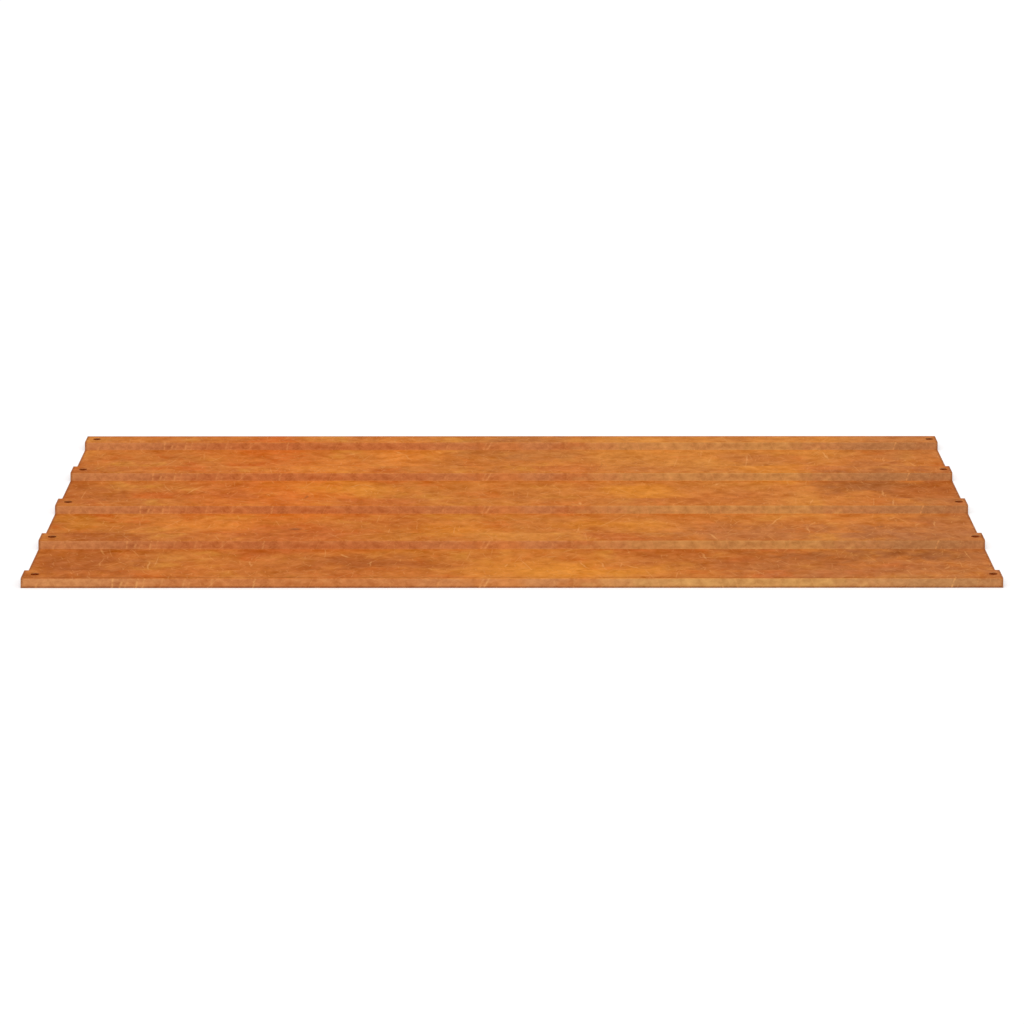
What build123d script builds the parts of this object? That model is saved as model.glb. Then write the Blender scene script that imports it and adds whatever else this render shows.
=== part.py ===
from build123d import *
import os
from math import atan2, cos

# A thin steel roofing sheet, rolled in one piece: wide flat valleys, narrow raised ribs with steep sides,
# and one fixing hole through the crest of every rib near each end of the sheet.
# X runs along the ribs, Y across them and Z up. The sheet lies on its valleys, and all sizes are millimetres.

# Steel strip
sheet_length = 600.0
sheet_thickness = 0.4

# Ribs, measured on the middle of the sheet's thickness
rib_count = 5
rib_pitch = 84.7
crest_width = 17.9
side_run = 1.4
rib_height = 5.5

# Inner radius of every bend
bend_radius = 0.8

# Fixing holes, with their distance from the left and the right end of the sheet
hole_diameter = 5.5
left_hole_margin = 7.6
right_hole_margin = 5.0

# Levels of the middle of the sheet, where it rests and on top of a rib
valley_level = sheet_thickness / 2
crest_level = valley_level + rib_height

# The long free edges are sheared square to the sloping sides and just reach the floor
side_slope = atan2(rib_height, side_run)
edge_level = valley_level * cos(side_slope)
edge_run = side_run * (crest_level - edge_level) / rib_height


def rib_centre(index):
    """Distance across the sheet from its middle to the middle of one rib."""
    return (index - (rib_count - 1) / 2) * rib_pitch


def rib_corners(index):
    """The four bend corners of one rib, from its front foot over the crest to its back foot."""
    centre = rib_centre(index)
    front_crest = centre - crest_width / 2
    back_crest = centre + crest_width / 2
    front_foot = (front_crest - side_run, valley_level)
    back_foot = (back_crest + side_run, valley_level)
    if index == 0:
        front_foot = (front_crest - edge_run, edge_level)
    if index == rib_count - 1:
        back_foot = (back_crest + edge_run, edge_level)
    return [front_foot, (front_crest, crest_level), (back_crest, crest_level), back_foot]


def rolled_sheet():
    """The sheet's bent section, drawn across the ribs and carried along their length."""
    corners = [corner for index in range(rib_count) for corner in rib_corners(index)]
    middle_line = FilletPolyline(*corners, radius=bend_radius + sheet_thickness / 2)
    section = trace(middle_line, line_width=sheet_thickness)
    return extrude(Plane.YZ * section, amount=sheet_length / 2, both=True)


def fixing_holes():
    """One drill per hole, standing on the crests near both ends of the sheet."""
    left_row = left_hole_margin - sheet_length / 2
    right_row = sheet_length / 2 - right_hole_margin
    lines = [rib_centre(index) for index in range(rib_count)]
    places = [(row, line, crest_level) for row in (left_row, right_row) for line in lines]
    return Locations(*places) * Cylinder(hole_diameter / 2, 4 * sheet_thickness)


ribbed_sheet = rolled_sheet() - fixing_holes()

os.makedirs("parts", exist_ok=True)
export_step(ribbed_sheet, "parts/ribbed_sheet.step")
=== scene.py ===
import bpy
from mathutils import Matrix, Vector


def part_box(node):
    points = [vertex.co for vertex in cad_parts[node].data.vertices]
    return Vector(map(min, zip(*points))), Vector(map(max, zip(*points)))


bl_info = {
    "name": "Rusted Ribbed Sheet",
    "version": (1, 0, 0),
    "blender": (4, 5, 0),
    "location": "View3D > Sidebar > Ribbed Sheet",
    "description": "Gives a ribbed steel roofing sheet its rust skin and sets up its studio",
    "category": "Material",
}

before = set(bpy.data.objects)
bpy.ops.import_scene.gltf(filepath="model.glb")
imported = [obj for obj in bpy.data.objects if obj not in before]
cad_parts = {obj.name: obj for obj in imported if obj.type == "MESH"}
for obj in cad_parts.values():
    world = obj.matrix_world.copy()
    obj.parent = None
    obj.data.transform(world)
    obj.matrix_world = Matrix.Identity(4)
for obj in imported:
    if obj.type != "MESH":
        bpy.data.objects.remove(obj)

import math
from collections import namedtuple

import bpy
from bpy.props import FloatProperty, FloatVectorProperty, PointerProperty
from bpy.types import Operator, Panel, PropertyGroup

MM = 0.001
SHEET = "ribbed_sheet"
SHEET_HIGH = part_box(SHEET)[1]
WHITE = (1.0, 1.0, 1.0)


def display(red, green, blue):
    """Turns a colour as seen on a screen, 0 to 255, into the linear values that a shader takes."""
    def linear(level):
        level = level / 255
        return level / 12.92 if level <= 0.04045 else ((level + 0.055) / 1.055) ** 2.4
    return linear(red), linear(green), linear(blue)


# Rust tones, named as a painter would
TONES = {
    "glow": display(218, 108, 30),
    "apricot": display(220, 126, 46),
    "amber": display(222, 135, 44),
    "straw": display(214, 135, 56),
    "tan": display(206, 122, 52),
    "putty": display(212, 154, 87),
    "olive": display(197, 117, 36),
    "rust": display(197, 106, 38),
    "brick": display(198, 101, 40),
    "dun": display(195, 135, 83),
    "clay": display(181, 108, 58),
    "chestnut": display(178, 94, 36),
    "umber": display(160, 92, 46),
    "burnt": display(140, 80, 42),
}

# A soft patch of one tone: its middle, half length and half width in millimetres, and how strongly it
# covers
Patch = namedtuple("Patch", "tone x y half_length half_width cover")

SHEET_PATCHES = (
    Patch("tan", 140, 40, 220, 170, 0.6),
    Patch("olive", -30, 30, 90, 170, 0.2),
    Patch("clay", 300, -40, 40, 170, 0.6),
    Patch("straw", 120, 165, 240, 25, 0.6),
    Patch("clay", 215, -150, 110, 45, 0.7),
    Patch("chestnut", -285, 40, 40, 80, 0.7),
    Patch("chestnut", -268, -120, 45, 90, 1.0),
    Patch("tan", -270, 155, 45, 25, 0.6),
    Patch("chestnut", -262, -168, 45, 24, 0.6),
    Patch("glow", -170, 140, 55, 60, 0.4),
    Patch("glow", -150, 25, 70, 75, 0.75),
    Patch("brick", -195, 50, 30, 30, 0.6),
    Patch("brick", -80, -10, 35, 30, 0.6),
    Patch("apricot", -125, 100, 40, 45, 0.9),
    Patch("apricot", -75, 145, 35, 40, 0.9),
    Patch("amber", -110, 55, 32, 26, 0.8),
    Patch("apricot", -200, -40, 35, 25, 0.8),
    Patch("olive", -275, -30, 25, 25, 0.8),
    Patch("brick", -130, -80, 75, 40, 0.8),
    Patch("tan", -218, -105, 16, 30, 0.6),
    Patch("rust", -180, -155, 60, 35, 0.8),
    Patch("rust", -90, -160, 50, 35, 0.8),
    Patch("chestnut", -85, -122, 42, 20, 1.0),
    Patch("chestnut", -125, -125, 28, 26, 0.6),
    Patch("olive", -65, -75, 40, 40, 0.6),
    Patch("rust", -62, -40, 35, 22, 0.5),
    Patch("amber", -35, -55, 35, 26, 0.5),
    Patch("umber", -25, 152, 26, 22, 0.4),
    Patch("clay", 20, 155, 40, 25, 0.5),
    Patch("brick", 35, 90, 28, 32, 0.5),
    Patch("straw", 85, 130, 45, 50, 0.7),
    Patch("straw", 140, 105, 40, 45, 0.8),
    Patch("amber", 180, 90, 28, 30, 0.7),
    Patch("straw", 225, 150, 35, 25, 0.5),
    Patch("clay", 175, 135, 25, 20, 0.2),
    Patch("umber", 252, 60, 50, 26, 0.8),
    Patch("clay", 245, 100, 45, 28, 0.4),
    Patch("clay", 275, 162, 50, 28, 0.5),
    Patch("chestnut", 283, 48, 32, 26, 0.9),
    Patch("amber", 82, 46, 38, 22, 0.9),
    Patch("straw", 197, 15, 12, 42, 0.5),
    Patch("amber", 62, -42, 38, 20, 0.7),
    Patch("rust", 120, 0, 45, 32, 0.45),
    Patch("straw", 10, -75, 50, 28, 0.6),
    Patch("amber", 35, -158, 88, 48, 0.9),
    Patch("brick", 70, -85, 30, 20, 0.6),
    Patch("clay", 150, -70, 60, 35, 0.6),
    Patch("chestnut", 98, -115, 34, 28, 0.75),
    Patch("chestnut", 165, -122, 60, 36, 0.45),
    Patch("clay", 245, -72, 60, 42, 1.0),
    Patch("straw", 203, -90, 16, 16, 0.5),
    Patch("umber", 262, -106, 36, 16, 0.9),
    Patch("umber", 190, -110, 40, 12, 0.6),
)

# Every rib side was rolled through the same stands, so all of them show these tones along their length
SIDE_PATCHES = (
    Patch("brick", -175, 0, 70, 40, 0.45),
    Patch("brick", -85, 0, 60, 40, 0.4),
    Patch("apricot", -10, 0, 25, 40, 0.4),
    Patch("rust", 48, 0, 17, 40, 0.45),
    Patch("putty", 125, 0, 70, 40, 0.8),
    Patch("putty", 190, 0, 35, 40, 0.9),
    Patch("dun", 262, 0, 54, 40, 1.0),
    Patch("clay", 294, 0, 12, 40, 0.3),
)

# A bright scratch up a rib side: where it is along the sheet, how far its top leans and its half width, all
# in millimetres, and how strongly it shows
Scratch = namedtuple("Scratch", "x lean half_width cover")

SIDE_SCRATCHES = (
    Scratch(-290, 2.0, 0.5, 0.4),
    Scratch(-283, 1.5, 0.5, 0.4),
    Scratch(-244, 0.7, 0.4, 1.0),
    Scratch(-238.5, 2.5, 0.55, 0.7),
    Scratch(-235, 2.6, 0.6, 0.6),
    Scratch(-229, 1.5, 0.5, 0.8),
    Scratch(-225, 1.5, 0.45, 0.7),
    Scratch(-214, 1.8, 0.45, 0.4),
    Scratch(-200.5, 2.0, 0.45, 0.45),
    Scratch(-197, 1.5, 0.45, 0.35),
    Scratch(-183.5, 1.0, 0.5, 0.5),
    Scratch(-157.5, 1.6, 0.45, 1.0),
    Scratch(-45, 2.0, 0.5, 0.4),
    Scratch(-15.5, 4.0, 0.45, 1.0),
    Scratch(-18.5, 3.0, 0.5, 0.6),
    Scratch(38, 0.5, 0.5, 0.4),
    Scratch(128, -2.0, 0.45, 0.4),
    Scratch(137, -2.0, 0.45, 0.4),
    Scratch(176, 2.0, 0.8, 0.35),
    Scratch(269.5, 2.4, 0.45, 0.8),
)

# A short stroke scored into the flats: its middle, the angle that it lies at in degrees, its half length and
# half width in millimetres, and how strongly it shows
Stroke = namedtuple("Stroke", "x y angle half_length half_width cover")

PALE_STROKES = (
    Stroke(-213.5, 51, 66, 15, 0.9, 0.65),
    Stroke(-232, 54, -72, 14, 0.8, 0.4),
    Stroke(-260, 158, -72, 11, 0.8, 0.35),
    Stroke(-214.5, 143, -84, 14, 0.7, 0.25),
    Stroke(-184, 112, 85, 6, 1.0, 0.35),
    Stroke(-191, 61, 66, 5, 0.9, 0.3),
    Stroke(-112, 147, 0, 3.5, 1.8, 0.5),
    Stroke(-105, 100, -72, 6, 1.1, 0.6),
    Stroke(-106, 61, 45, 7, 1.0, 0.5),
    Stroke(-96, 61, -45, 7, 1.0, 0.45),
    Stroke(-259, -100, -72, 12, 0.9, 0.4),
    Stroke(-256.5, -125, 85, 14, 0.8, 0.35),
    Stroke(-226.5, -131, -84, 12, 0.9, 0.6),
    Stroke(-232, -110, 0, 9, 1.3, 0.3),
    Stroke(-163, -128, -84, 9, 0.9, 0.5),
    Stroke(-105, -110, -60, 6, 1.4, 0.5),
    Stroke(-78, 152, -45, 6, 1.2, 0.4),
    Stroke(-72, 138, -72, 12, 0.9, 0.45),
    Stroke(-53, 114, 0, 3, 2.0, 0.6),
    Stroke(-88, -128, 85, 9, 0.8, 0.4),
    Stroke(45, -5, 85, 5, 1.2, 0.7),
    Stroke(41, -8, 0, 4, 1.4, 0.45),
    Stroke(43.5, -49, 85, 6, 1.0, 0.5),
    Stroke(50, -51, 0, 3, 1.5, 0.4),
    Stroke(35, -100, 45, 8, 1.0, 0.45),
    Stroke(25, -112, 0, 5, 1.5, 0.4),
    Stroke(-4, -132, 85, 5, 1.0, 0.55),
    Stroke(45, -131, -72, 12, 0.9, 0.55),
    Stroke(56.5, -131, -84, 7, 1.0, 0.55),
    Stroke(68, -131, 85, 7, 0.9, 0.45),
    Stroke(76, -135, -45, 7, 1.0, 0.45),
    Stroke(65, 110, 85, 12, 0.8, 0.25),
    Stroke(22, 43, 45, 6, 1.3, 0.3),
    Stroke(63, 42, -45, 5, 1.4, 0.35),
    Stroke(51, 33, 0, 4, 1.6, 0.4),
    Stroke(17, -23, 0, 5, 1.4, 0.3),
    Stroke(133, 151, 85, 18, 0.9, 0.3),
    Stroke(164, 137, -84, 12, 0.8, 0.3),
    Stroke(174, 112, 85, 8, 0.9, 0.45),
    Stroke(125, 100, 0, 3, 2.0, 0.6),
    Stroke(180, 101, -60, 5, 1.5, 0.5),
    Stroke(208, 124, 45, 6, 1.1, 0.4),
    Stroke(219.5, 144, -84, 14, 1.0, 0.65),
    Stroke(259, 132, 85, 9, 1.0, 0.45),
    Stroke(278, 117, -72, 13, 0.9, 0.45),
    Stroke(139.5, 66, 66, 6, 1.0, 0.4),
    Stroke(187, 67, 85, 9, 0.8, 0.3),
    Stroke(197.5, 0, 85, 9, 0.9, 0.65),
    Stroke(249.5, 42, 85, 10, 0.9, 0.5),
    Stroke(251.5, -2, 85, 10, 1.0, 0.55),
    Stroke(172.5, -27, 66, 17, 0.9, 0.65),
    Stroke(192, -50, 85, 10, 0.9, 0.5),
    Stroke(195.5, -35, 66, 8, 0.9, 0.45),
    Stroke(248.5, -21, 45, 6, 1.1, 0.5),
    Stroke(275, -35, 85, 10, 0.9, 0.45),
    Stroke(264, -37, 66, 6, 1.0, 0.35),
    Stroke(128, -84, -72, 9, 1.0, 0.65),
    Stroke(121, -111, -84, 10, 1.0, 0.45),
    Stroke(119.5, -145, 85, 11, 0.9, 0.3),
    Stroke(220.5, -147, 66, 6, 1.2, 0.4),
    Stroke(249, -122, -60, 5, 1.3, 0.45),
    Stroke(256, -140, 0, 3, 1.8, 0.5),
    Stroke(271, -137, 66, 6, 1.2, 0.45),
)

DARK_STROKES = (
    Stroke(-140, -47, 0, 5, 4, 0.6),
    Stroke(-137.5, 32, 85, 6, 1.6, 0.5),
    Stroke(62, 115, 85, 15, 1.0, 0.25),
    Stroke(141, -16, 0, 5, 2.5, 0.3),
    Stroke(239, -42, 45, 5, 2.2, 0.4),
    Stroke(250, -26, 0, 5, 1.6, 0.3),
)

# Fine scratches all over the sheet: how far apart they lie and their half width, both in millimetres, the
# share of places that have one, and how strongly they show
Fine = namedtuple("Fine", "spread half_width share cover")

SCRATCH_LAYERS = (
    Fine(50.0, 0.5, 0.4, 0.5),
    Fine(30.0, 0.5, 0.5, 0.45),
    Fine(18.0, 0.5, 0.7, 0.35),
    Fine(12.0, 0.5, 0.9, 0.3),
    Fine(8.0, 0.5, 0.9, 0.35),
    Fine(6.0, 0.45, 0.9, 0.35),
)

# The half length of a fine scratch and how much it bows, as shares of the distance to the next one
SCRATCH_LENGTH = 0.45
SCRATCH_BOW = 0.35

# How far out from its middle a fine scratch still shows fully, as shares of its half width and half length
SCRATCH_CORE = 0.3
SCRATCH_TIP = 0.4

# Step between the layers of fine scratches, so that they don't repeat each other
LAYER_STEP = (3.1, 1.7, 0.0)

# Where a patch, a stroke and a side scratch fade in and where they are full, as shares of the way to their
# rims
PATCH_FADE = (1.25, 0.25)
STROKE_FADE = (1.0, 0.3)
SIDE_SCRATCH_FADE = (2.0, 0.4)

# How ragged the blotches make the rims of the patches
RAGGEDNESS = 1.1

# A noise field of the skin: how much finer detail it carries, how strong that detail is, a layer that keeps
# it apart from the other fields, and how much it swirls
Field = namedtuple("Field", "detail roughness layer swirl")

DRIFT = Field(3.0, 0.5, 0.11, 0.0)
HUE = Field(4.0, 0.6, 0.53, 0.0)
MOTTLE = Field(5.0, 0.62, 0.29, 0.0)
GRAIN = Field(4.0, 0.66, 0.71, 0.3)
WEAR = Field(2.0, 0.5, 0.37, 0.0)

# A push that makes patches wander or strokes quiver: the size of its lumps and its reach each way, both in
# metres, and its noise field
Push = namedtuple("Push", "size reach field")

PATCH_PUSH = Push(0.04, 0.04, Field(4.0, 0.6, 0.83, 0.0))
STROKE_PUSH = Push(0.01, 0.0025, Field(2.0, 0.5, 0.47, 0.0))

# Size of the hue noise as a share of the drift, and the swings at which the ground begins to turn warm or
# pale and has turned
HUE_SIZE = 0.6
WARM_SWING = (-0.02, -0.16)
COOL_SWING = (0.02, 0.16)

# Size in metres of the wear on the marks of the rib sides, and the noise at which it begins and is full
WEAR_SIZE = 0.005
WEAR_FADE = (0.36, 0.6)

# How far a face has to point sideways or endways to begin to count as a rib side or a sheared end, and to be
# one
SIDE_FADE = (0.4, 0.95)
END_FADE = (0.5, 0.8)

# How many times finer the skin is on the rib sides than on the flats, along the sheet and up the side
SIDE_FINER_ALONG = 1.8
SIDE_FINER_UP = 2.8

# Steps through the noise that give the rib sides, the underside and the sheared ends a skin of their own
SIDE_STEP = 0.9
UNDER_STEP = 0.37
END_STEP = 0.21

# Where the colour begins to darken and where it is darkest, in millimetres: in from the sheared ends, in
# from the long edges on top, and up from the floor on the outer sides, which reach this far in. The
# darkening up from the floor is painted shade where the sheet meets the floor
RIM_DARKENING = (2.2, 0.2)
BEND_DARKENING = (5.5, 2.5)
FOOT_SHADE = (1.6, 0.6)
OUTER_SIDE = 2.2

# How much more green than red and blue rises as the rust lightens, and how strong the grain's pale veil is
GOLDEN = 1.35
VEIL = 0.07

# How much of the underside's tone covers the rust below the sheet
UNDER_COVER = 0.85

# What the blotches and the grain add to the roughness
ROUGH_MOTTLE = 0.25
ROUGH_GRAIN = 0.2

# What the blotches and the grain add to the height of the skin, and what the fine scratches take away
HIGH_MOTTLE = 0.35
HIGH_GRAIN = 0.65
DEEP_SCRATCH = 0.4


class Channel:
    """A socket that carries a value. Arithmetic on it adds the Math nodes that work it out."""

    def __init__(self, graph, socket):
        self.graph = graph
        self.socket = socket

    def maths(self, operation, *values):
        return self.graph.node("ShaderNodeMath", {"operation": operation}, dict(enumerate(values)))[0]

    def __add__(self, other):
        return self.maths("ADD", self, other)

    def __radd__(self, other):
        return self.maths("ADD", other, self)

    def __sub__(self, other):
        return self.maths("SUBTRACT", self, other)

    def __rsub__(self, other):
        return self.maths("SUBTRACT", other, self)

    def __mul__(self, other):
        return self.maths("MULTIPLY", self, other)

    def __rmul__(self, other):
        return self.maths("MULTIPLY", other, self)

    def __gt__(self, other):
        return self.maths("GREATER_THAN", self, other)

    def __lt__(self, other):
        return self.maths("LESS_THAN", self, other)

    def __abs__(self):
        return self.maths("ABSOLUTE", self)


class Outputs:
    """The outputs of one node, each taken by its name or its place."""

    def __init__(self, graph, made):
        self.graph = graph
        self.made = made

    def __getitem__(self, name):
        return Channel(self.graph, self.made.outputs[name])


class Graph:
    """The node tree of one material or world."""

    def __init__(self, owner):
        owner.use_nodes = True
        self.tree = owner.node_tree
        self.tree.nodes.clear()

    def node(self, kind, settings=None, sockets=None):
        """Adds a node of this type, makes its settings, then fills its sockets with values or links."""
        made = self.tree.nodes.new(kind)
        for name, setting in (settings or {}).items():
            setattr(made, name, setting)
        for name, value in (sockets or {}).items():
            if isinstance(value, Channel):
                self.tree.links.new(value.socket, made.inputs[name])
            else:
                made.inputs[name].default_value = value
        return Outputs(self, made)

    def vector_maths(self, operation, *values):
        """Vector Math on positions or colours. Only a length comes out as a single value."""
        made = self.node("ShaderNodeVectorMath", {"operation": operation}, dict(enumerate(values)))
        return made["Value" if operation == "LENGTH" else "Vector"]

    def parts(self, vector):
        """The X, Y and Z of a position or a direction."""
        return self.node("ShaderNodeSeparateXYZ", {}, {"Vector": vector})

    def vector(self, x, y, z):
        """A position or a colour, put together from three values."""
        return self.node("ShaderNodeCombineXYZ", {}, {"X": x, "Y": y, "Z": z})["Vector"]

    def turned(self, place, angle):
        """A position, turned about the vertical."""
        sockets = {"Vector": place, "Angle": angle}
        return self.node("ShaderNodeVectorRotate", {"rotation_type": "Z_AXIS"}, sockets)["Vector"]

    def larger(self, first, second):
        """The larger one of two values."""
        return self.node("ShaderNodeMath", {"operation": "MAXIMUM"}, {0: first, 1: second})[0]

    def mix_colour(self, factor, first, second):
        """The first colour where the factor is 0 and the second where it is 1."""
        # Inputs 6 and 7 and output 2 are the colours of a Mix node
        sockets = {0: factor, 6: opaque(first), 7: opaque(second)}
        return self.node("ShaderNodeMix", {"data_type": "RGBA"}, sockets)[2]

    def mix_value(self, factor, first, second):
        """The first value where the factor is 0 and the second where it is 1."""
        return first + (second - first) * factor

    def fade(self, value, start, end):
        """Rises smoothly from 0 at start to 1 at end."""
        sockets = {"Value": value, "From Min": start, "From Max": end}
        return self.node("ShaderNodeMapRange", {"interpolation_type": "SMOOTHSTEP"}, sockets)["Result"]

    def noise(self, place, size, field):
        """Fractal noise with lumps of this size in metres."""
        sockets = {
            "Vector": self.vector_maths("ADD", place, (0.0, 0.0, field.layer)),
            "Scale": 1 / size,
            "Detail": field.detail,
            "Roughness": field.roughness,
            "Distortion": field.swirl,
        }
        return self.node("ShaderNodeTexNoise", {}, sockets)


def opaque(colour):
    """A colour socket wants four values; a link stays as it is."""
    return colour if isinstance(colour, Channel) else (*colour[:3], 1.0)


def pushed(graph, spot, place, push):
    """A spot pushed about by a noise, which is looked up at this place of the skin."""
    lumps = graph.noise(place, push.size, push.field)["Color"]
    both_ways = (2 * push.reach, 2 * push.reach, 0.0)
    shove = graph.vector_maths("MULTIPLY_ADD", lumps, both_ways, (-push.reach, -push.reach, 0.0))
    return graph.vector_maths("ADD", spot, shove)


def reach_from(graph, place, x, y, half_length, half_width):
    """How far a place lies from the middle of an ellipse in millimetres, where 1 is its rim."""
    stretch = (1 / (half_length * MM), 1 / (half_width * MM), 0.0)
    shift = (-x / half_length, -y / half_width, 0.0)
    return graph.vector_maths("LENGTH", graph.vector_maths("MULTIPLY_ADD", place, stretch, shift))


def patched(graph, place, patches, colour, raggedness):
    """Lays the patches over a colour one by one, with soft ragged edges."""
    for patch in patches:
        reach = reach_from(graph, place, patch.x, patch.y, patch.half_length, patch.half_width)
        cover = graph.fade(reach + raggedness, *PATCH_FADE) * patch.cover
        colour = graph.mix_colour(cover, colour, TONES[patch.tone])
    return colour


def stroked(graph, place, strokes):
    """How strongly the strokes show: each is a thin ellipse that fades out towards its rim."""
    total = 0.0
    for angle in sorted({stroke.angle for stroke in strokes}):
        turn = math.radians(angle)
        turned = graph.turned(place, -turn)
        for stroke in [each for each in strokes if each.angle == angle]:
            along = stroke.x * math.cos(turn) + stroke.y * math.sin(turn)
            across = stroke.y * math.cos(turn) - stroke.x * math.sin(turn)
            reach = reach_from(graph, turned, along, across, stroke.half_length, stroke.half_width)
            total = total + graph.fade(reach, *STROKE_FADE) * stroke.cover
    return total


def scratch_layer(graph, place, fine, number):
    """One thin curved scratch in some of the cells of a jittered grid, each at its own angle."""
    spread = fine.spread * MM
    half_width = fine.half_width * MM
    half_length = spread * SCRATCH_LENGTH
    moved = graph.vector_maths("ADD", place, [number * step for step in LAYER_STEP])
    sockets = {"Vector": moved, "Scale": 1 / spread, "Randomness": 1.0}
    cells = graph.node("ShaderNodeTexVoronoi", {"voronoi_dimensions": "2D", "feature": "F1"}, sockets)
    chance = graph.node("ShaderNodeSeparateColor", {}, {"Color": cells["Color"]})
    offset = graph.vector_maths("SUBTRACT", moved, cells["Position"])
    parts = graph.parts(graph.turned(offset, chance["Red"] * math.tau))
    along = parts["X"]
    bow = along * along * ((chance["Green"] - 0.5) * (SCRATCH_BOW / spread))
    body = graph.fade(abs(parts["Y"] - bow), half_width, half_width * SCRATCH_CORE)
    ends = graph.fade(abs(along), half_length, half_length * SCRATCH_TIP)
    return body * ends * (chance["Blue"] > 1 - fine.share) * chance["Blue"]


def fine_scratches(graph, place):
    """How strongly the fine scratches show, all layers together."""
    total = 0.0
    for number, fine in enumerate(SCRATCH_LAYERS, start=1):
        total = total + scratch_layer(graph, place, fine, number) * fine.cover
    return total


def side_marks(graph, where):
    """How strongly the marks show that all rib sides share."""
    height = SHEET_HIGH[2]
    total = 0.0
    for scratch in SIDE_SCRATCHES:
        lean = scratch.lean * MM / height
        off = abs(where["X"] - scratch.x * MM - (where["Z"] - height / 2) * lean)
        start, full = [share * scratch.half_width * MM for share in SIDE_SCRATCH_FADE]
        total = total + graph.fade(off, start, full) * scratch.cover
    return total


class SheetLook(PropertyGroup):
    """Sizes and colours of the rust skin."""

    ground: FloatVectorProperty(
        name="Rust ground",
        description="Colour of the rust between the patches",
        subtype="COLOR",
        default=display(202, 115, 46),
        min=0.0,
        max=1.0,
    )
    warm: FloatVectorProperty(
        name="Warm drift",
        description="Colour that the ground drifts to where the rust is redder",
        subtype="COLOR",
        default=display(203, 103, 36),
        min=0.0,
        max=1.0,
    )
    cool: FloatVectorProperty(
        name="Pale drift",
        description="Colour that the ground drifts to where the rust is yellower",
        subtype="COLOR",
        default=display(212, 134, 54),
        min=0.0,
        max=1.0,
    )
    # Paler, greyer ground of the rib sides: painted sheen, a white reflection on the steep sides painted
    # into their colour
    side_sheen_ground: FloatVectorProperty(
        name="Rib side ground",
        description="Greyer rust on the steep sides of the ribs, scuffed as the sheet was rolled",
        subtype="COLOR",
        default=display(210, 137, 82),
        min=0.0,
        max=1.0,
    )
    underside: FloatVectorProperty(
        name="Underside",
        description="Deeper rust that shows below the sheet and through its holes",
        subtype="COLOR",
        default=display(202, 87, 6),
        min=0.0,
        max=1.0,
    )
    scratch_tone: FloatVectorProperty(
        name="Scratch",
        description="Pale rust at the bottom of a scratch",
        subtype="COLOR",
        default=display(239, 172, 102),
        min=0.0,
        max=1.0,
    )
    drift_size: FloatProperty(
        name="Drift size",
        description="Size of the slow changes of tone",
        subtype="DISTANCE",
        default=0.06,
        min=0.001,
    )
    drift_strength: FloatProperty(
        name="Drift strength",
        description="How much the slow changes lighten and darken the rust",
        default=0.3,
        min=0.0,
    )
    mottle_size: FloatProperty(
        name="Mottle size",
        description="Size of the blotches",
        subtype="DISTANCE",
        default=0.016,
        min=0.001,
    )
    mottle_strength: FloatProperty(
        name="Mottle strength",
        description="How much the blotches lighten and darken the flats",
        default=0.25,
        min=0.0,
    )
    side_mottle_strength: FloatProperty(
        name="Rib side mottle strength",
        description="How much the blotches lighten and darken the rib sides",
        default=0.1,
        min=0.0,
    )
    grain_size: FloatProperty(
        name="Grain size",
        description="Size of the rust's grain",
        subtype="DISTANCE",
        default=0.0095,
        min=0.0002,
    )
    grain_strength: FloatProperty(
        name="Grain strength",
        description="How much the grain lightens and darkens the rust",
        default=0.79,
        min=0.0,
    )
    scratch_strength: FloatProperty(
        name="Scratch strength",
        description="How much of the scratch colour shows where a scratch is deepest",
        subtype="FACTOR",
        default=0.75,
        min=0.0,
        max=1.0,
    )
    # Darkening of the sheared ends, and painted shade at the foot of the two outer sides where they meet the
    # floor
    rim_darkening_and_foot_shade: FloatProperty(
        name="Edge wear",
        description="How far the sheared ends and the foot of the two outer sides have darkened",
        subtype="FACTOR",
        default=0.65,
        min=0.0,
        max=1.0,
    )
    # Darkening of the outermost bends
    bend_darkening: FloatProperty(
        name="Bend wear",
        description="How far the outermost bends have darkened",
        subtype="FACTOR",
        default=0.25,
        min=0.0,
        max=1.0,
    )
    roughness: FloatProperty(
        name="Roughness",
        description="How matt the rust is",
        subtype="FACTOR",
        default=0.72,
        min=0.0,
        max=1.0,
    )
    shine: FloatProperty(
        name="Shine",
        description="Strength of the rust's faint shine",
        subtype="FACTOR",
        default=0.04,
        min=0.0,
        max=1.0,
    )
    bump_depth: FloatProperty(
        name="Bump depth",
        description="Depth of the pits and grain",
        subtype="DISTANCE",
        default=0.00024,
        min=0.0,
        precision=5,
    )
    bump_strength: FloatProperty(
        name="Bump strength",
        description="How much of the bump's depth shows",
        subtype="FACTOR",
        default=0.6,
        min=0.0,
        max=1.0,
    )


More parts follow.
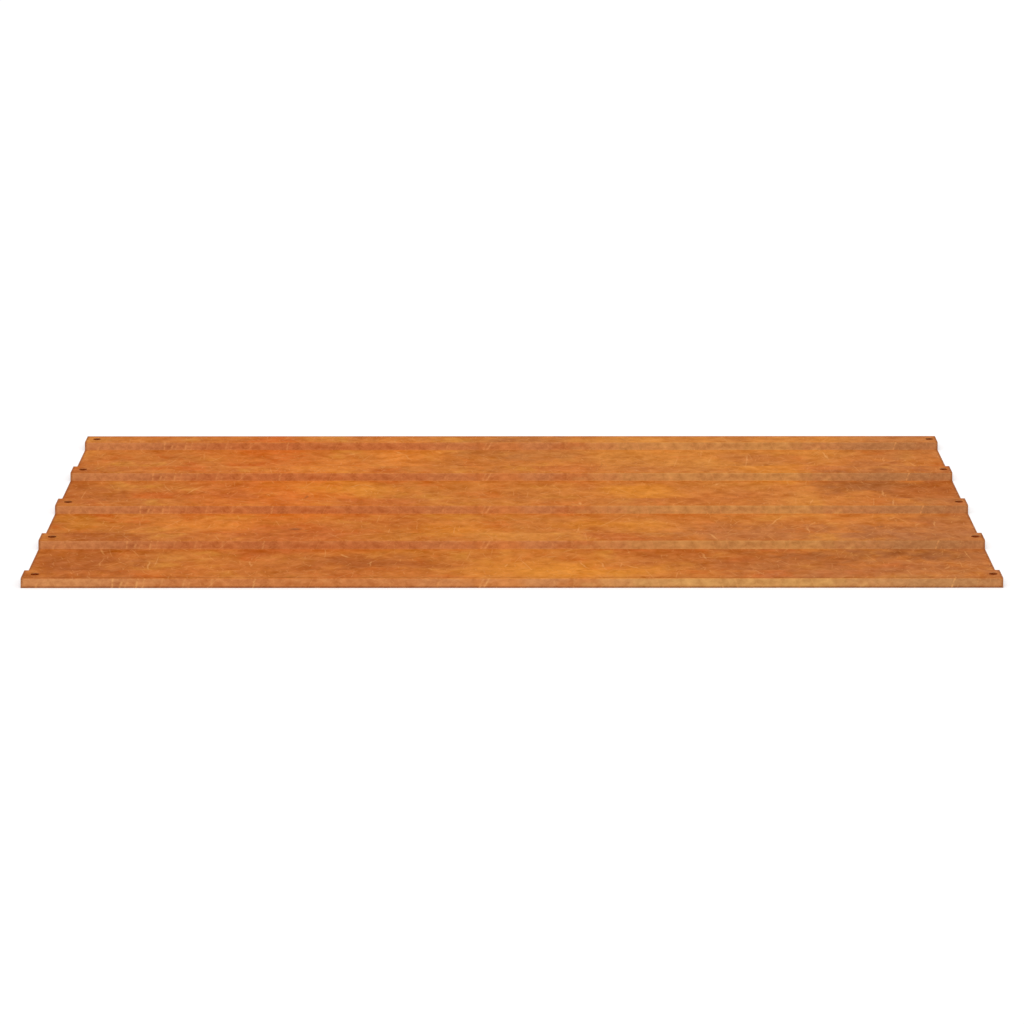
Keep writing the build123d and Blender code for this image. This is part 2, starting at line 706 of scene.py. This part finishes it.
class StudioLook(PropertyGroup):
    """The floor, the light and the place that the picture is taken from."""

    floor_size: FloatProperty(
        name="Floor size",
        description="Side of the square floor",
        subtype="DISTANCE",
        default=24.0,
    )
    floor_colour: FloatVectorProperty(
        name="Floor",
        description="Colour of the floor and backdrop",
        subtype="COLOR",
        default=(0.85, 0.85, 0.85),
        min=0.0,
        max=1.0,
    )
    floor_lift: FloatProperty(
        name="Floor lift",
        description="How far the floor is lifted towards white for the camera alone",
        default=0.25,
        min=0.0,
    )
    sky_level: FloatProperty(
        name="Sky level",
        description="Strength of the even light from all round",
        default=0.62,
        min=0.0,
    )
    lamp_level: FloatProperty(
        name="Lamp level",
        description="Strength of the broad soft light from above and in front",
        default=1.15,
        min=0.0,
    )
    lamp_spread: FloatProperty(
        name="Lamp spread",
        description="How broad the soft light is, which sets how soft the shadow is",
        subtype="ANGLE",
        default=math.radians(60.0),
    )
    lamp_lean: FloatProperty(
        name="Lamp lean",
        description="How far the soft light leans to the front from straight above",
        subtype="ANGLE",
        default=math.radians(24.0),
    )
    lamp_turn: FloatProperty(
        name="Lamp turn",
        description="How far the soft light is turned about the vertical",
        subtype="ANGLE",
        default=math.radians(-8.0),
    )
    lens: FloatProperty(
        name="Lens",
        description="Focal length of the camera, on a 36 mm wide picture, in millimetres",
        default=123.484,
    )
    camera_side: FloatProperty(
        name="Camera side step",
        description="Place of the camera along the sheet",
        subtype="DISTANCE",
        default=-0.002847,
        precision=5,
    )
    camera_back: FloatProperty(
        name="Camera distance",
        description="Distance of the camera in front of the middle of the sheet, along the floor",
        subtype="DISTANCE",
        default=2.2361,
        precision=4,
    )
    camera_height: FloatProperty(
        name="Camera height",
        description="Height of the camera above the floor",
        subtype="DISTANCE",
        default=0.610979,
        precision=4,
    )
    camera_pitch: FloatProperty(
        name="Camera pitch",
        description="Angle that the camera looks down",
        subtype="ANGLE",
        default=math.radians(15.3098),
    )
    camera_yaw: FloatProperty(
        name="Camera yaw",
        description="Angle that the camera is turned to the right",
        subtype="ANGLE",
        default=math.radians(0.0792),
    )


def skin_lookup(graph, where, facing, is_under):
    """Where the skin is looked up: the flats in plan, the steep rib sides by length and height."""
    is_end = graph.fade(abs(facing["X"]), *END_FADE)
    is_steep = abs(facing["Y"]) > 0.5
    along = where["X"] * graph.mix_value(is_steep, 1.0, SIDE_FINER_ALONG)
    across = graph.mix_value(is_steep, where["Y"], where["Z"] * SIDE_FINER_UP + SIDE_STEP)
    return graph.vector(along, across, is_under * UNDER_STEP + is_end * END_STEP)


def darkened_edges_and_foot_shade(graph, where, facing, look):
    """How far the sheared ends and the outermost bends have darkened, with painted shade at the foot of the
    two outer sides, where they meet the floor.
    """
    out = abs(where["Y"])
    rim = graph.fade(abs(where["X"]), *[SHEET_HIGH[0] - step * MM for step in RIM_DARKENING])
    is_outer = out > SHEET_HIGH[1] - OUTER_SIDE * MM
    # Painted shade at the foot of the outer sides, where they meet the floor
    foot = graph.fade(where["Z"], *[step * MM for step in FOOT_SHADE]) * is_outer
    is_level = facing["Z"] > 0.9
    bend = graph.fade(out, *[SHEET_HIGH[1] - step * MM for step in BEND_DARKENING]) * is_level
    return graph.larger(rim * look.rim_darkening_and_foot_shade, foot * look.rim_darkening_and_foot_shade + bend * look.bend_darkening)


def lightened(graph, colour, light, veil):
    """A colour made lighter or darker by this share, more golden as it lightens, under a pale veil."""
    golden = graph.vector(1 + light, 1 + light * GOLDEN, 1 + light)
    colour = graph.vector_maths("MULTIPLY", colour, golden)
    return graph.vector_maths("ADD", colour, graph.vector(veil, veil, veil))


def rust_skin(look):
    """The rust material: drifts, patches, mottling and grain, darkened edges, strokes and scratches, with
    painted sheen on the rib sides and painted shade at the foot of the outer sides.
    """
    material = bpy.data.materials.new("rust skin")
    graph = Graph(material)
    spot = graph.node("ShaderNodeTexCoord")
    where = graph.parts(spot["Object"])
    facing = graph.parts(spot["Normal"])
    is_side = graph.fade(abs(facing["Y"]), *SIDE_FADE)
    is_under = facing["Z"] < -0.1
    place = skin_lookup(graph, where, facing, is_under)

    # Noise that swings about 0
    drift = graph.noise(place, look.drift_size, DRIFT)["Fac"] - 0.5
    hue = graph.noise(place, look.drift_size * HUE_SIZE, HUE)["Fac"] - 0.5
    mottle = graph.noise(place, look.mottle_size, MOTTLE)["Fac"] - 0.5
    grain = graph.noise(place, look.grain_size, GRAIN)["Fac"] - 0.5

    # Ground and patches
    patch_place = pushed(graph, spot["Object"], place, PATCH_PUSH)
    raggedness = mottle * RAGGEDNESS
    ground = graph.mix_colour(graph.fade(hue, *WARM_SWING), look.ground, look.warm)
    ground = graph.mix_colour(graph.fade(hue, *COOL_SWING), ground, look.cool)
    flats = patched(graph, patch_place, SHEET_PATCHES, ground, raggedness)
    # The rib sides get the paler, greyer ground: painted sheen, a white reflection painted into their colour
    side_place = graph.vector_maths("MULTIPLY", patch_place, (1.0, 0.0, 0.0))
    sides = patched(graph, side_place, SIDE_PATCHES, look.side_sheen_ground, raggedness)
    colour = graph.mix_colour(is_side, flats, sides)
    # Darker at the sheared ends and outermost bends, and painted shade at the foot of the outer sides
    colour = graph.mix_colour(darkened_edges_and_foot_shade(graph, where, facing, look), colour, TONES["burnt"])

    # Light and dark
    mottle_strength = graph.mix_value(is_side, look.mottle_strength, look.side_mottle_strength)
    light = drift * look.drift_strength + mottle * mottle_strength + grain * look.grain_strength
    colour = lightened(graph, colour, light, grain * VEIL)
    colour = graph.mix_colour(is_under * UNDER_COVER, colour, look.underside)

    # Listed strokes and fine scratches on the flats, and the marks that all rib sides share
    stroke_place = pushed(graph, spot["Object"], place, STROKE_PUSH)
    is_top = facing["Z"] > 0.5
    colour = graph.mix_colour(stroked(graph, stroke_place, DARK_STROKES) * is_top, colour, TONES["burnt"])
    scratches = fine_scratches(graph, place)
    marks = side_marks(graph, where)
    worn_away = graph.fade(graph.noise(place, WEAR_SIZE, WEAR)["Fac"], *WEAR_FADE)
    strokes = stroked(graph, stroke_place, PALE_STROKES) * is_top
    cut = graph.mix_value(is_side, scratches + strokes, scratches + marks * worn_away)
    colour = graph.mix_colour(cut * look.scratch_strength, colour, look.scratch_tone)

    # The strokes stay out of the bump, because with them Cycles runs out of room for the shader
    height = mottle * HIGH_MOTTLE + grain * HIGH_GRAIN - scratches * DEEP_SCRATCH
    sockets = {"Distance": look.bump_depth, "Height": height, "Strength": look.bump_strength}
    bump = graph.node("ShaderNodeBump", {}, sockets)
    sockets = {
        "Base Color": colour,
        "Roughness": look.roughness + mottle * ROUGH_MOTTLE + grain * ROUGH_GRAIN,
        "Specular IOR Level": look.shine,
        "Normal": bump["Normal"],
    }
    skin = graph.node("ShaderNodeBsdfPrincipled", {}, sockets)
    graph.node("ShaderNodeOutputMaterial", {}, {"Surface": skin["BSDF"]})
    return material


def floor_paint(look):
    """A pale matt floor that the camera sees as plain white, apart from the sheet's shadow."""
    material = bpy.data.materials.new("pale floor")
    graph = Graph(material)
    paint = graph.node("ShaderNodeBsdfDiffuse", {}, {"Color": opaque(look.floor_colour)})
    lift = graph.node("ShaderNodeEmission", {}, {"Color": opaque(WHITE), "Strength": look.floor_lift})
    lifted = graph.node("ShaderNodeAddShader", {}, {0: paint["BSDF"], 1: lift["Emission"]})
    where = graph.parts(graph.node("ShaderNodeTexCoord")["Object"])
    beyond = graph.larger(abs(where["X"]) > SHEET_HIGH[0], abs(where["Y"]) > SHEET_HIGH[1])
    sockets = {0: seen_rays(graph) * beyond, 1: paint["BSDF"], 2: lifted["Shader"]}
    both = graph.node("ShaderNodeMixShader", {}, sockets)
    graph.node("ShaderNodeOutputMaterial", {}, {"Surface": both["Shader"]})
    return material


def even_light(look):
    """A world that lights the sheet evenly and is plain white to the camera."""
    world = bpy.data.worlds.new("even light")
    graph = Graph(world)
    sky = graph.node("ShaderNodeBackground", {}, {"Color": opaque(WHITE), "Strength": look.sky_level})
    white = graph.node("ShaderNodeBackground", {}, {"Color": opaque(WHITE), "Strength": 1.0})
    sockets = {0: seen_rays(graph), 1: sky["Background"], 2: white["Background"]}
    both = graph.node("ShaderNodeMixShader", {}, sockets)
    graph.node("ShaderNodeOutputWorld", {}, {"Surface": both["Shader"]})
    return world


def seen_rays(graph):
    """1 for what is seen, straight, by reflection or through glass, and 0 for light that falls on things."""
    path = graph.node("ShaderNodeLightPath")
    seen = graph.larger(path["Is Camera Ray"], path["Is Glossy Ray"])
    return graph.larger(seen, path["Is Transmission Ray"])


class SHEET_OT_rust_skin(Operator):
    """Gives the ribbed sheet its rust skin"""

    bl_idname = "sheet.rust_skin"
    bl_label = "Rust the Sheet"

    def execute(self, context):
        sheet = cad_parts[SHEET]
        skin = rust_skin(context.scene.sheet_look)
        for slot in sheet.material_slots:
            slot.material = skin
        return {"FINISHED"}


class SHEET_OT_studio(Operator):
    """Lays the floor, hangs the soft light and sets up the camera"""

    bl_idname = "sheet.studio"
    bl_label = "Set Up the Studio"

    def execute(self, context):
        look = context.scene.studio_look
        self.lay_floor(context, look)
        self.hang_light(context, look)
        self.place_camera(context, look)
        context.scene.view_settings.view_transform = "Standard"
        return {"FINISHED"}

    def lay_floor(self, context, look):
        half = look.floor_size / 2
        corners = [(-half, -half, 0.0), (half, -half, 0.0), (half, half, 0.0), (-half, half, 0.0)]
        mesh = bpy.data.meshes.new("floor")
        mesh.from_pydata(corners, [], [(0, 1, 2, 3)])
        mesh.materials.append(floor_paint(look))
        floor = bpy.data.objects.new("floor", mesh)
        context.scene.collection.objects.link(floor)

    def hang_light(self, context, look):
        context.scene.world = even_light(look)
        lamp = bpy.data.lights.new("soft lamp", "SUN")
        lamp.energy = look.lamp_level
        lamp.angle = look.lamp_spread
        hung = bpy.data.objects.new("soft lamp", lamp)
        hung.rotation_euler = (look.lamp_lean, 0.0, look.lamp_turn)
        context.scene.collection.objects.link(hung)

    def place_camera(self, context, look):
        camera = bpy.data.cameras.new("camera")
        camera.lens = look.lens
        camera.sensor_width = 36.0
        camera.clip_end = 100.0
        placed = bpy.data.objects.new("camera", camera)
        placed.location = (look.camera_side, -look.camera_back, look.camera_height)
        placed.rotation_euler = (math.pi / 2 - look.camera_pitch, 0.0, -look.camera_yaw)
        context.scene.collection.objects.link(placed)
        context.scene.camera = placed


class SHEET_PT_panel(Panel):
    """Lists the sheet's sizes, colours and steps"""

    bl_label = "Ribbed Sheet"
    bl_idname = "SHEET_PT_panel"
    bl_space_type = "VIEW_3D"
    bl_region_type = "UI"
    bl_category = "Ribbed Sheet"

    def draw(self, context):
        for look in (context.scene.sheet_look, context.scene.studio_look):
            box = self.layout.box()
            for name in look.__annotations__:
                box.prop(look, name)
        self.layout.operator(SHEET_OT_rust_skin.bl_idname)
        self.layout.operator(SHEET_OT_studio.bl_idname)


CLASSES = (SheetLook, StudioLook, SHEET_OT_rust_skin, SHEET_OT_studio, SHEET_PT_panel)


def register():
    for each in CLASSES:
        bpy.utils.register_class(each)
    bpy.types.Scene.sheet_look = PointerProperty(type=SheetLook)
    bpy.types.Scene.studio_look = PointerProperty(type=StudioLook)


def unregister():
    del bpy.types.Scene.studio_look
    del bpy.types.Scene.sheet_look
    for each in reversed(CLASSES):
        bpy.utils.unregister_class(each)


def main():
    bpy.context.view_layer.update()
    register()
    bpy.ops.sheet.rust_skin()
    bpy.ops.sheet.studio()


if __name__ == "__main__":
    main()
